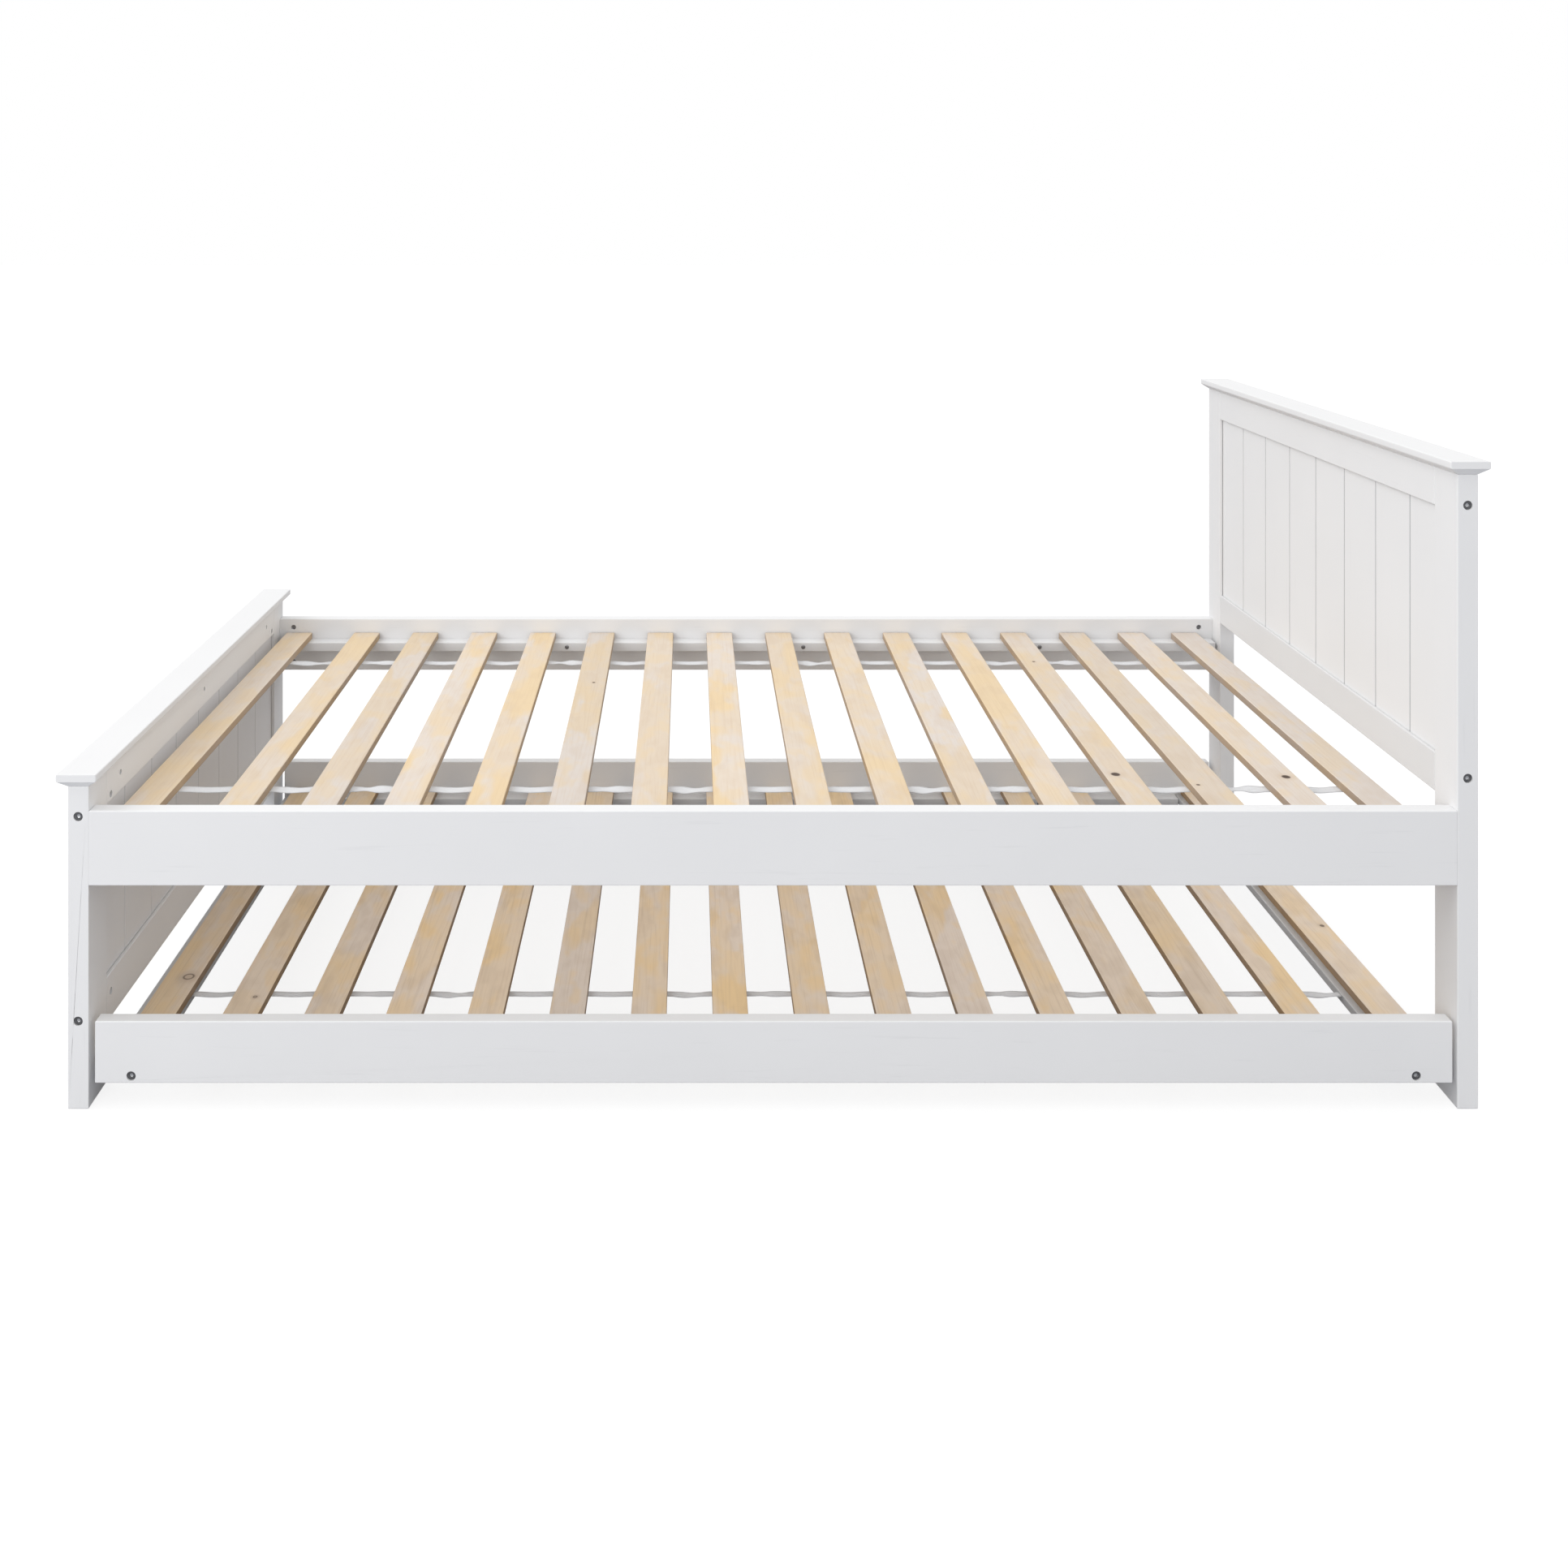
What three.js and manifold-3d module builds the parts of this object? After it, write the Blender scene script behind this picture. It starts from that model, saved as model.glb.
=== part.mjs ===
// A single bed in painted pine with a slatted base, and a slatted trundle of the same width that rolls
// out from under it on fixed castors.
// Millimetres. +Z is up, +X runs towards the headboard, and the trundle rolls out along -Y.
// The origin is on the floor, under the middle of the bed.

import * as THREE from 'three';
import { mergeVertices } from 'three/addons/utils/BufferGeometryUtils.js';
import Module from 'manifold-3d';

const wasm = await Module();
wasm.setup();

// Bed frame.
const INNER_LENGTH = 1900; // between the footboard and the headboard, for a 1880 mattress
const BED_WIDTH = 980; // over the posts and the side rails, for a 920 mattress
const END_THICKNESS = 29; // posts and end rails, along X
const POST_WIDTH = 63; // posts, along Y
const OPENING_WIDTH = BED_WIDTH - 2 * POST_WIDTH; // between the two posts of one end

// The headboard and the footboard differ only in these heights. The connector bolts run along Y through the
// posts, into barrel nuts in the end rails.
const HEADBOARD = {
  name: 'head', side: 1, postTop: 881, topRail: [826, 881], bottomRail: [417, 473], connectors: [838, 459],
};
const FOOTBOARD = {
  name: 'foot', side: -1, postTop: 448, topRail: [396, 448], bottomRail: [84, 149], connectors: [406, 122],
};

// Moulded cap on each end: a chamfer that widens upwards, then a square edge.
const CAP_CHAMFER = 9;
const CAP_EDGE = 10;
const CAP_OVERHANG_X = 13.5;
const CAP_OVERHANG_Y = 8.5;

// Tongue and groove panel, held in grooves of the posts and the end rails.
const PANEL_THICKNESS = 12;
const PANEL_RECESS = 6; // from the inner face of the posts
const GROOVE_DEPTH = 8;
const PANEL_PLAY = 0.3; // clearance of the panel in its grooves, all round
const BOARD_PITCH = 110;
const BOARD_JOINTS = 7;
const FIRST_BOARD_JOINT = -342; // the board at this edge is cut narrower than the rest
const V_WIDTH = 4;
const V_DEPTH = 2;

// Connector bolts with sunk heads, barrel nuts, and the pocket holes of the screws that hold the caps.
const BOLT_HEAD_RADIUS = 6.5;
const BOLT_HEAD_DEPTH = 6;
const BARREL_NUT_RADIUS = 5;
const BARREL_NUT_DEPTH = 15;
const END_NUT_FROM_POST = 17; // into the end rail
const POCKET_RADIUS = 4;
const POCKET_DEPTH = 12;
const POCKET_FROM_POST = 53;
const POCKET_BELOW_CAP = 24;
const SIDE_NUT_FROM_END = 28;
const SIDE_NUT_FROM_EDGE = 17;

// Side rails and the ledgers inside them that carry the slats.
const SIDE_RAIL_THICKNESS = 22;
const SIDE_RAIL_Z = [310, 414];
const LEDGER_WIDTH = 28;
const LEDGER_HEIGHT = 18;
const LEDGER_END_GAP = 4;

// Slats, the same for both bases. The two end slats stand apart from the even pitch of the others.
const SLAT_COUNT = 16;
const SLAT_WIDTH = 52;
const SLAT_THICKNESS = 13;
const SLAT_END_GAP = 2; // to the side rail, at each end
const BED_SLATS = {
  prefix: 'bed_slat', top: 387, first: -935.5, second: -798, pitch: 119.5, last: 864.5,
};
const TRUNDLE_SLATS = {
  prefix: 'trundle_slat', top: 70, first: -922, second: -801.5, pitch: 119.8, last: 883.5,
};

// Trundle. Everything along X is measured from its own middle.
const TRUNDLE_LENGTH = 1884;
const TRUNDLE_SHIFT = 1; // it stands this much nearer the headboard
const TRUNDLE_RAIL_THICKNESS = 20;
const TRUNDLE_RAIL_Z = [36, 122];
const TRUNDLE_BOLT_FROM_END = 50;
const TRUNDLE_BOLT_Z = 46;
const TRUNDLE_LEDGER_WIDTH = 25;
const TRUNDLE_LEDGER_HEIGHT = 19;
const CROSS_MEMBER_WIDTH = 64;
const CROSS_MEMBER_HEIGHT = 13;
const CROSS_MEMBER_INSET = 5; // from the ends of the trundle's rails
const LEDGER_TO_CROSS_MEMBER = 1;

// Fixed castors, which roll along Y.
const WHEEL_RADIUS = 16;
const WHEEL_WIDTH = 14;
const WHEEL_EDGE = 2; // rounding of the tread's corners
const WHEEL_WEB = 4; // the disc between hub and rim is sunk by this much on each side
const HUB_RADIUS = 5.5;
const RIM_INNER_RADIUS = 11;
const AXLE_RADIUS = 2.5;
const AXLE_PLAY = 0.2;
const CHEEK_THICKNESS = 2;
const CHEEK_GAP = 1.5; // between a cheek and the wheel
const CHEEK_TIP_RADIUS = 6;
const CASTOR_PLATE = { x: 46, y: 52, thickness: 2 };
const CASTOR_FROM_RAIL = 95; // wheel centre to the inner face of the trundle's rail
const ROUND_SEGMENTS = 28;

const PAINT = new THREE.MeshStandardMaterial({ color: 0xeeeeef, roughness: 0.45, metalness: 0 });
const PANEL_PAINT = new THREE.MeshStandardMaterial({ color: 0xe9e9ea, roughness: 0.5, metalness: 0 });
const PINE = new THREE.MeshStandardMaterial({ color: 0xe2cba9, roughness: 0.65, metalness: 0 });
const ZINC = new THREE.MeshStandardMaterial({ color: 0xb4b7ba, roughness: 0.35, metalness: 0.9 });
const NYLON = new THREE.MeshStandardMaterial({ color: 0x2b2c2e, roughness: 0.55, metalness: 0 });

const bed = new THREE.Group();

// A closed three.js geometry as a solid that can be cut and joined.
function toSolid(geometry) {
  const bare = geometry.clone();
  bare.deleteAttribute('normal');
  bare.deleteAttribute('uv');
  const merged = mergeVertices(bare, 1e-4);
  const vertProperties = new Float32Array(merged.attributes.position.array);
  const triVerts = new Uint32Array(merged.index.array);
  return new wasm.Manifold(new wasm.Mesh({ numProp: 3, vertProperties, triVerts }));
}

function toGeometry(solid) {
  const mesh = solid.getMesh();
  const shared = new THREE.BufferGeometry();
  shared.setAttribute('position', new THREE.BufferAttribute(mesh.vertProperties, 3));
  shared.setIndex(new THREE.BufferAttribute(mesh.triVerts, 1));
  const geometry = shared.toNonIndexed();
  geometry.computeVertexNormals();
  return geometry;
}

// A round hole, centred on the face that it enters, so that half of the drill's length cuts.
function drillHole(solid, { radius, depth, along, at }) {
  const drill = new THREE.CylinderGeometry(radius, radius, 2 * depth, ROUND_SEGMENTS);
  if (along === 'x') drill.rotateZ(Math.PI / 2);
  return solid.subtract(toSolid(drill.translate(...at)));
}

// A box between two corners.
function block([x0, y0, z0], [x1, y1, z1]) {
  const box = new THREE.BoxGeometry(x1 - x0, y1 - y0, z1 - z0);
  return box.translate((x0 + x1) / 2, (y0 + y1) / 2, (z0 + z1) / 2);
}

function addPiece(parent, name, geometry, material) {
  const piece = new THREE.Mesh(geometry, material);
  piece.name = name;
  parent.add(piece);
  return piece;
}

// The X span of something that starts `from` outside the mattress space at one end of the bed.
function spanX(side, from, thickness) {
  const near = side * (INNER_LENGTH / 2 + from);
  const far = side * (INNER_LENGTH / 2 + from + thickness);
  return [Math.min(near, far), Math.max(near, far)];
}

// The room for the panel of one end, which reaches into the posts and into both rails.
function grooveBlock(end) {
  const [x0, x1] = spanX(end.side, PANEL_RECESS - PANEL_PLAY, PANEL_THICKNESS + 2 * PANEL_PLAY);
  const halfWidth = OPENING_WIDTH / 2 + GROOVE_DEPTH;
  const bottom = end.bottomRail[1] - GROOVE_DEPTH;
  const top = end.topRail[0] + GROOVE_DEPTH;
  return toSolid(block([x0, -halfWidth, bottom], [x1, halfWidth, top]));
}

// The heights of the two barrel nuts at each end of a side rail.
function sideNutHeights() {
  const [bottom, top] = SIDE_RAIL_Z;
  return [bottom + SIDE_NUT_FROM_EDGE, top - SIDE_NUT_FROM_EDGE];
}

// A post takes bolts through its outer edge into the end rails, and through its outer face into a side rail.
function postGeometry(end, row) {
  const [x0, x1] = spanX(end.side, 0, END_THICKNESS);
  const outer = row * BED_WIDTH / 2;
  const inner = row * OPENING_WIDTH / 2;
  const head = { radius: BOLT_HEAD_RADIUS, depth: BOLT_HEAD_DEPTH };
  const outerFace = end.side > 0 ? x1 : x0;
  const sideRailMiddle = row * (BED_WIDTH - SIDE_RAIL_THICKNESS) / 2;
  let post = toSolid(block([x0, Math.min(outer, inner), 0], [x1, Math.max(outer, inner), end.postTop]));
  post = post.subtract(grooveBlock(end));
  for (const z of end.connectors) {
    post = drillHole(post, { ...head, along: 'y', at: [(x0 + x1) / 2, outer, z] });
  }
  for (const z of sideNutHeights()) {
    post = drillHole(post, { ...head, along: 'x', at: [outerFace, sideRailMiddle, z] });
  }
  return toGeometry(post);
}

// Both ends have their barrel nuts and pocket holes in the faces that look along +X.
function endRailSolid(end, [bottom, top], connectorZ) {
  const [x0, x1] = spanX(end.side, 0, END_THICKNESS);
  let rail = toSolid(block([x0, -OPENING_WIDTH / 2, bottom], [x1, OPENING_WIDTH / 2, top]));
  rail = rail.subtract(grooveBlock(end));
  for (const row of [-1, 1]) {
    const y = row * (OPENING_WIDTH / 2 - END_NUT_FROM_POST);
    const nut = { radius: BARREL_NUT_RADIUS, depth: BARREL_NUT_DEPTH };
    rail = drillHole(rail, { ...nut, along: 'x', at: [x1, y, connectorZ] });
  }
  return rail;
}

function topRailGeometry(end) {
  const [, x1] = spanX(end.side, 0, END_THICKNESS);
  let rail = endRailSolid(end, end.topRail, end.connectors[0]);
  for (const row of [-1, 0, 1]) {
    const y = row * (OPENING_WIDTH / 2 - POCKET_FROM_POST);
    const pocket = { radius: POCKET_RADIUS, depth: POCKET_DEPTH };
    rail = drillHole(rail, { ...pocket, along: 'x', at: [x1, y, end.postTop - POCKET_BELOW_CAP] });
  }
  return toGeometry(rail);
}

// The panel's plan has a V on both faces at each joint between two boards.
function panelGeometry(end) {
  const halfWidth = OPENING_WIDTH / 2 + GROOVE_DEPTH - PANEL_PLAY;
  const halfThickness = PANEL_THICKNESS / 2;
  const joints = Array.from({ length: BOARD_JOINTS }, (_, i) => FIRST_BOARD_JOINT + i * BOARD_PITCH);
  const plan = new THREE.Shape();
  plan.moveTo(halfThickness, -halfWidth);
  for (const y of joints) {
    plan.lineTo(halfThickness, y - V_WIDTH / 2);
    plan.lineTo(halfThickness - V_DEPTH, y);
    plan.lineTo(halfThickness, y + V_WIDTH / 2);
  }
  plan.lineTo(halfThickness, halfWidth);
  plan.lineTo(-halfThickness, halfWidth);
  for (const y of joints.toReversed()) {
    plan.lineTo(-halfThickness, y + V_WIDTH / 2);
    plan.lineTo(-halfThickness + V_DEPTH, y);
    plan.lineTo(-halfThickness, y - V_WIDTH / 2);
  }
  plan.lineTo(-halfThickness, -halfWidth);
  const [x0, x1] = spanX(end.side, PANEL_RECESS, PANEL_THICKNESS);
  const bottom = end.bottomRail[1] - GROOVE_DEPTH + PANEL_PLAY;
  const top = end.topRail[0] + GROOVE_DEPTH - PANEL_PLAY;
  const panel = new THREE.ExtrudeGeometry(plan, { depth: top - bottom, bevelEnabled: false });
  return panel.translate((x0 + x1) / 2, 0, bottom);
}

// Rectangles stacked along Z and joined by flat sides, so that the corners are mitred.
function stackedGeometry(levels) {
  const points = levels.flatMap(({ x, y, z }) => [[-x, -y, z], [x, -y, z], [x, y, z], [-x, y, z]]);
  const last = points.length - 4;
  const faces = [[0, 3, 2], [0, 2, 1], [last, last + 1, last + 2], [last, last + 2, last + 3]];
  for (let base = 0; base < last; base += 4) {
    for (let corner = 0; corner < 4; corner += 1) {
      const next = (corner + 1) % 4;
      faces.push([base + corner, base + next, base + 4 + next]);
      faces.push([base + corner, base + 4 + next, base + 4 + corner]);
    }
  }
  const geometry = new THREE.BufferGeometry();
  geometry.setAttribute('position', new THREE.Float32BufferAttribute(points.flat(), 3));
  geometry.setIndex(faces.flat());
  const faceted = geometry.toNonIndexed();
  faceted.computeVertexNormals();
  return faceted;
}

function capGeometry() {
  const x = END_THICKNESS / 2;
  const y = BED_WIDTH / 2;
  const wide = { x: x + CAP_OVERHANG_X, y: y + CAP_OVERHANG_Y };
  return stackedGeometry([
    { x, y, z: 0 },
    { ...wide, z: CAP_CHAMFER },
    { ...wide, z: CAP_CHAMFER + CAP_EDGE },
  ]);
}

function addEnd(end) {
  addPiece(bed, `${end.name}_post_front`, postGeometry(end, -1), PAINT);
  addPiece(bed, `${end.name}_post_back`, postGeometry(end, 1), PAINT);
  const bottomRail = endRailSolid(end, end.bottomRail, end.connectors[1]);
  addPiece(bed, `${end.name}_top_rail`, topRailGeometry(end), PAINT);
  addPiece(bed, `${end.name}_bottom_rail`, toGeometry(bottomRail), PAINT);
  addPiece(bed, `${end.name}_panel`, panelGeometry(end), PANEL_PAINT);
  const cap = addPiece(bed, `${end.name}_cap`, capGeometry(), PAINT);
  cap.position.set(end.side * (INNER_LENGTH + END_THICKNESS) / 2, 0, end.postTop);
}

// A side rail has two barrel nut holes at each end, in its inner face.
function sideRailGeometry(row) {
  const outer = row * BED_WIDTH / 2;
  const inner = outer - row * SIDE_RAIL_THICKNESS;
  const halfLength = INNER_LENGTH / 2;
  const [bottom, top] = SIDE_RAIL_Z;
  let rail = toSolid(block(
    [-halfLength, Math.min(outer, inner), bottom],
    [halfLength, Math.max(outer, inner), top],
  ));
  const nut = { radius: BARREL_NUT_RADIUS, depth: BARREL_NUT_DEPTH, along: 'y' };
  for (const x of [-halfLength + SIDE_NUT_FROM_END, halfLength - SIDE_NUT_FROM_END]) {
    for (const z of sideNutHeights()) {
      rail = drillHole(rail, { ...nut, at: [x, inner, z] });
    }
  }
  return toGeometry(rail);
}

function ledgerGeometry(row) {
  const outer = row * (BED_WIDTH / 2 - SIDE_RAIL_THICKNESS);
  const inner = outer - row * LEDGER_WIDTH;
  const halfLength = INNER_LENGTH / 2 - LEDGER_END_GAP;
  const top = BED_SLATS.top - SLAT_THICKNESS;
  return block(
    [-halfLength, Math.min(outer, inner), top - LEDGER_HEIGHT],
    [halfLength, Math.max(outer, inner), top],
  );
}

function addSlats(parent, { prefix, top, first, second, pitch, last }, halfLength) {
  const starts = Array.from({ length: SLAT_COUNT }, (_, i) => second + (i - 1) * pitch);
  starts[0] = first;
  starts[SLAT_COUNT - 1] = last;
  for (const [i, x] of starts.entries()) {
    const name = `${prefix}_${String(i + 1).padStart(2, '0')}`;
    const slat = block([x, -halfLength, top - SLAT_THICKNESS], [x + SLAT_WIDTH, halfLength, top]);
    addPiece(parent, name, slat, PINE);
  }
}

function addBase() {
  for (const [place, row] of [['front', -1], ['back', 1]]) {
    addPiece(bed, `side_rail_${place}`, sideRailGeometry(row), PAINT);
    addPiece(bed, `slat_ledger_${place}`, ledgerGeometry(row), PAINT);
  }
  addSlats(bed, BED_SLATS, BED_WIDTH / 2 - SIDE_RAIL_THICKNESS - SLAT_END_GAP);
}

const TRUNDLE_HALF_INSIDE = BED_WIDTH / 2 - TRUNDLE_RAIL_THICKNESS;
const CROSS_MEMBER_TOP = TRUNDLE_SLATS.top - SLAT_THICKNESS;
const CROSS_MEMBER_BOTTOM = CROSS_MEMBER_TOP - CROSS_MEMBER_HEIGHT;
const CROSS_MEMBER_X = TRUNDLE_LENGTH / 2 - CROSS_MEMBER_INSET - CROSS_MEMBER_WIDTH / 2;

// A trundle rail with its ledger glued on, which stops short of the two cross members.
function trundleRailGeometry(row) {
  const outer = row * BED_WIDTH / 2;
  const inner = row * TRUNDLE_HALF_INSIDE;
  const ledger = inner - row * TRUNDLE_LEDGER_WIDTH;
  const board = block(
    [-TRUNDLE_LENGTH / 2, Math.min(outer, inner), TRUNDLE_RAIL_Z[0]],
    [TRUNDLE_LENGTH / 2, Math.max(outer, inner), TRUNDLE_RAIL_Z[1]],
  );
  const ledgerEnd = CROSS_MEMBER_X - CROSS_MEMBER_WIDTH / 2 - LEDGER_TO_CROSS_MEMBER;
  const strip = block(
    [-ledgerEnd, Math.min(inner, ledger), CROSS_MEMBER_TOP - TRUNDLE_LEDGER_HEIGHT],
    [ledgerEnd, Math.max(inner, ledger), CROSS_MEMBER_TOP],
  );
  let rail = toSolid(board).add(toSolid(strip));
  const boltX = TRUNDLE_LENGTH / 2 - TRUNDLE_BOLT_FROM_END;
  const head = { radius: BOLT_HEAD_RADIUS, depth: BOLT_HEAD_DEPTH, along: 'y' };
  for (const x of [-boltX, boltX]) {
    rail = drillHole(rail, { ...head, at: [x, outer, TRUNDLE_BOLT_Z] });
  }
  return toGeometry(rail);
}

function crossMemberGeometry() {
  return block(
    [-CROSS_MEMBER_WIDTH / 2, -TRUNDLE_HALF_INSIDE, CROSS_MEMBER_BOTTOM],
    [CROSS_MEMBER_WIDTH / 2, TRUNDLE_HALF_INSIDE, CROSS_MEMBER_TOP],
  );
}

// The wheel is turned about its own axis and then laid along X.
function wheelGeometry() {
  const half = WHEEL_WIDTH / 2;
  const web = half - WHEEL_WEB;
  const bore = (AXLE_RADIUS + AXLE_PLAY) / Math.cos(Math.PI / ROUND_SEGMENTS);
  const right = [
    [bore, half],
    [HUB_RADIUS, half],
    [HUB_RADIUS + 1, web],
    [RIM_INNER_RADIUS, web],
    [RIM_INNER_RADIUS + 1, half],
    [WHEEL_RADIUS - WHEEL_EDGE, half],
    [WHEEL_RADIUS, half - WHEEL_EDGE],
  ];
  const left = right.map(([radius, along]) => [radius, -along]);
  const outline = [...left, ...right.toReversed(), left[0]];
  const profile = outline.map(([radius, along]) => new THREE.Vector2(radius, along));
  return new THREE.LatheGeometry(profile, ROUND_SEGMENTS).rotateZ(-Math.PI / 2);
}

// One cheek of a castor bracket, seen along X: square at the plate and round at the axle.
function cheekGeometry(plateUnderside) {
  const halfPlate = CASTOR_PLATE.y / 2 - 10;
  const side = new THREE.Shape();
  side.moveTo(-halfPlate, plateUnderside);
  side.lineTo(-CHEEK_TIP_RADIUS, 0);
  side.absarc(0, 0, CHEEK_TIP_RADIUS, Math.PI, 2 * Math.PI, false);
  side.lineTo(halfPlate, plateUnderside);
  side.closePath();
  const cheek = new THREE.ExtrudeGeometry(side, {
    depth: CHEEK_THICKNESS, bevelEnabled: false, curveSegments: 12,
  });
  // From the drawing plane to the plane across X.
  return cheek.rotateX(Math.PI / 2).rotateZ(Math.PI / 2);
}

// A castor bracket with its riveted axle, about the middle of the axle.
function bracketGeometry() {
  const plateTop = CROSS_MEMBER_BOTTOM - WHEEL_RADIUS;
  const plateUnderside = plateTop - CASTOR_PLATE.thickness;
  const cheekX = WHEEL_WIDTH / 2 + CHEEK_GAP;
  const overlap = CASTOR_PLATE.thickness / 2; // joins the cheeks to the plate
  let bracket = toSolid(block(
    [-CASTOR_PLATE.x / 2, -CASTOR_PLATE.y / 2, plateUnderside],
    [CASTOR_PLATE.x / 2, CASTOR_PLATE.y / 2, plateTop],
  ));
  for (const x of [cheekX, -cheekX - CHEEK_THICKNESS]) {
    bracket = bracket.add(toSolid(cheekGeometry(plateUnderside + overlap).translate(x, 0, 0)));
  }
  const axleLength = 2 * (cheekX + CHEEK_THICKNESS) + 1.5;
  const axle = new THREE.CylinderGeometry(AXLE_RADIUS, AXLE_RADIUS, axleLength, ROUND_SEGMENTS);
  return toGeometry(bracket.add(toSolid(axle.rotateZ(Math.PI / 2))));
}

function addCastors(trundle) {
  for (const [end, sideX] of [['head', 1], ['foot', -1]]) {
    for (const [place, row] of [['front', -1], ['back', 1]]) {
      const x = sideX * CROSS_MEMBER_X;
      const y = row * (TRUNDLE_HALF_INSIDE - CASTOR_FROM_RAIL);
      const bracket = addPiece(trundle, `castor_bracket_${end}_${place}`, bracketGeometry(), ZINC);
      const wheel = addPiece(trundle, `castor_wheel_${end}_${place}`, wheelGeometry(), NYLON);
      bracket.position.set(x, y, WHEEL_RADIUS);
      wheel.position.set(x, y, WHEEL_RADIUS);
    }
  }
}

function addTrundle() {
  const trundle = new THREE.Group();
  trundle.position.x = TRUNDLE_SHIFT;
  bed.add(trundle);
  addPiece(trundle, 'trundle_rail_front', trundleRailGeometry(-1), PAINT);
  addPiece(trundle, 'trundle_rail_back', trundleRailGeometry(1), PAINT);
  for (const [end, sideX] of [['head', 1], ['foot', -1]]) {
    const member = addPiece(trundle, `trundle_cross_member_${end}`, crossMemberGeometry(), PAINT);
    member.position.x = sideX * CROSS_MEMBER_X;
  }
  addSlats(trundle, TRUNDLE_SLATS, TRUNDLE_HALF_INSIDE - SLAT_END_GAP);
  addCastors(trundle);
}

addEnd(HEADBOARD);
addEnd(FOOTBOARD);
addBase();
addTrundle();

export default bed;
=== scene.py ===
"""The looks of a painted pine bed with a trundle: materials, rounded edges, fasteners and webbing tapes.

Metres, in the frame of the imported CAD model: +X runs to the headboard, -Y to the side that the trundle rolls
out of, +Z up, and the origin is on the floor under the middle of the bed.
"""

import math

import bmesh
import bpy
from mathutils import Matrix, Vector


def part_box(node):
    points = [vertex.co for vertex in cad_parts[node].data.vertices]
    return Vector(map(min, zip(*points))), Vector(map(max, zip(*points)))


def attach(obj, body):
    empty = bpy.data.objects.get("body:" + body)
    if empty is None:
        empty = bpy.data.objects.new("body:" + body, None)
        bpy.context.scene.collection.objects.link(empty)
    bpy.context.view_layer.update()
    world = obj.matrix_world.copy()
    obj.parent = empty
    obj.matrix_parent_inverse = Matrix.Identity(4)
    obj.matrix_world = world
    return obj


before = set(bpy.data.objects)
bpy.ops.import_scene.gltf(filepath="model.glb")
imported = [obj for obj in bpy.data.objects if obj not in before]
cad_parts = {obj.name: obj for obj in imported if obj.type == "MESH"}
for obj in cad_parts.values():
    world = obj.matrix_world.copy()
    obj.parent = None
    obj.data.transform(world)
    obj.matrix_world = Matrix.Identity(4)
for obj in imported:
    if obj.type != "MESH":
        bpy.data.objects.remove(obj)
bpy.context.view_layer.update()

# Sides of the bed, with the sign of their place along Y, and ends, with the sign of their place along X.
SIDES = (("front", -1), ("back", 1))
ENDS = (("head", 1), ("foot", -1))
THREE_ROWS = (("front", -1), ("middle", 0), ("back", 1))

# Camera: level, with the lens shifted down to the bed.
CAMERA_PLACE = (-0.1166, -2.538, 1.250)
LENS_MM = 33.88
LENS_SHIFT = (0.0606, -0.367)
SENSOR_WIDTH_MM = 36.0

# Light.
SUN_FROM = (-0.68, 0.0, 0.56)
SUN_STRENGTH = 0.76
SUN_WIDTH = math.radians(50)
FILL_PLACE = (-2.1, -4.3, 1.7)
FILL_SIZE = 2.0
FILL_WATTS = 53.0
BED_MIDDLE = (0.0, 0.0, 0.4)
FLOOR_BOUNCE = (0.38, 0.39, 0.42)  # what the floor throws back up
FLOOR_SEEN = (0.21, 0.21, 0.21)
FLOOR_CLOUDS = (0.25, 0.25, 0.25)
FLOOR_GLOW = 0.83  # seen by the camera only: it lifts the floor to white and its shadows to pale gray
FLOOR_SIZE = 60.0
FLOOR_Z = -0.0005  # just under the posts and the wheels

# Colors of the paint.
PAINT_LOW = (0.760, 0.761, 0.767)
PAINT_HIGH = (0.792, 0.793, 0.798)
PAINT_LINE = (0.745, 0.746, 0.752)
# The gray of the painted shade in the panels' V grooves and along the posts.
PAINTED_JOINT_SHADE = (0.36, 0.36, 0.37)
PAINT_GRAIN_STRETCH = 0.05

# Colors of the two kinds of pine. "side" is painted shade, which darkens the slats' upright side faces. The
# slats turn grayer along bleached_x. The first slat alone gets painted light: a paler tone against the
# footboard's shadow, over the last range of BED_PINE.
# Painted light: the share by which the first slat's tone is lifted against the footboard's shadow.
FIRST_SLAT_PAINTED_LIGHT = 0.15
GRAIN_JUMP = 7.0  # the farthest that a slat's grain is taken from another place, so that no two are alike
RING_PHASE = 95.0  # radians over the range of the noise, which makes about 15 growth rings
BED_PINE = {
    "pale": (0.69, 0.578, 0.453),
    "yellow": (0.74, 0.567, 0.339),
    "bleached": (0.68, 0.620, 0.574),
    "ring": (0.55, 0.390, 0.240),
    "knot": (0.075, 0.045, 0.030),
    "side": (0.62, 0.55, 0.48),
    "bleached_x": (0.50, 1.00),
    "painted_light_x": (-0.82, -0.88),
}
TRUNDLE_PINE = {
    "pale": (0.81, 0.658, 0.490),
    "yellow": (0.85, 0.620, 0.335),
    "bleached": (0.79, 0.690, 0.605),
    "ring": (0.45, 0.310, 0.190),
    "knot": (0.085, 0.050, 0.032),
    "side": (0.48, 0.40, 0.32),
    "bleached_x": (0.70, 1.40),
}
# Where the knots are: x, y, radius, and how dark the core is. The rest is sound wood.
BED_KNOTS = (
    (-0.290, 0.149, 0.0035, 1.0),
    (0.534, -0.287, 0.0085, 1.0),
    (0.540, 0.273, 0.0035, 1.0),
    (0.646, -0.328, 0.0035, 0.8),
    (0.790, -0.297, 0.0080, 1.0),
)
TRUNDLE_KNOTS = (
    (-0.885, -0.271, 0.0105, 0.1),
    (-0.766, -0.329, 0.0040, 0.4),
    (0.925, -0.110, 0.0045, 0.8),
)

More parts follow.
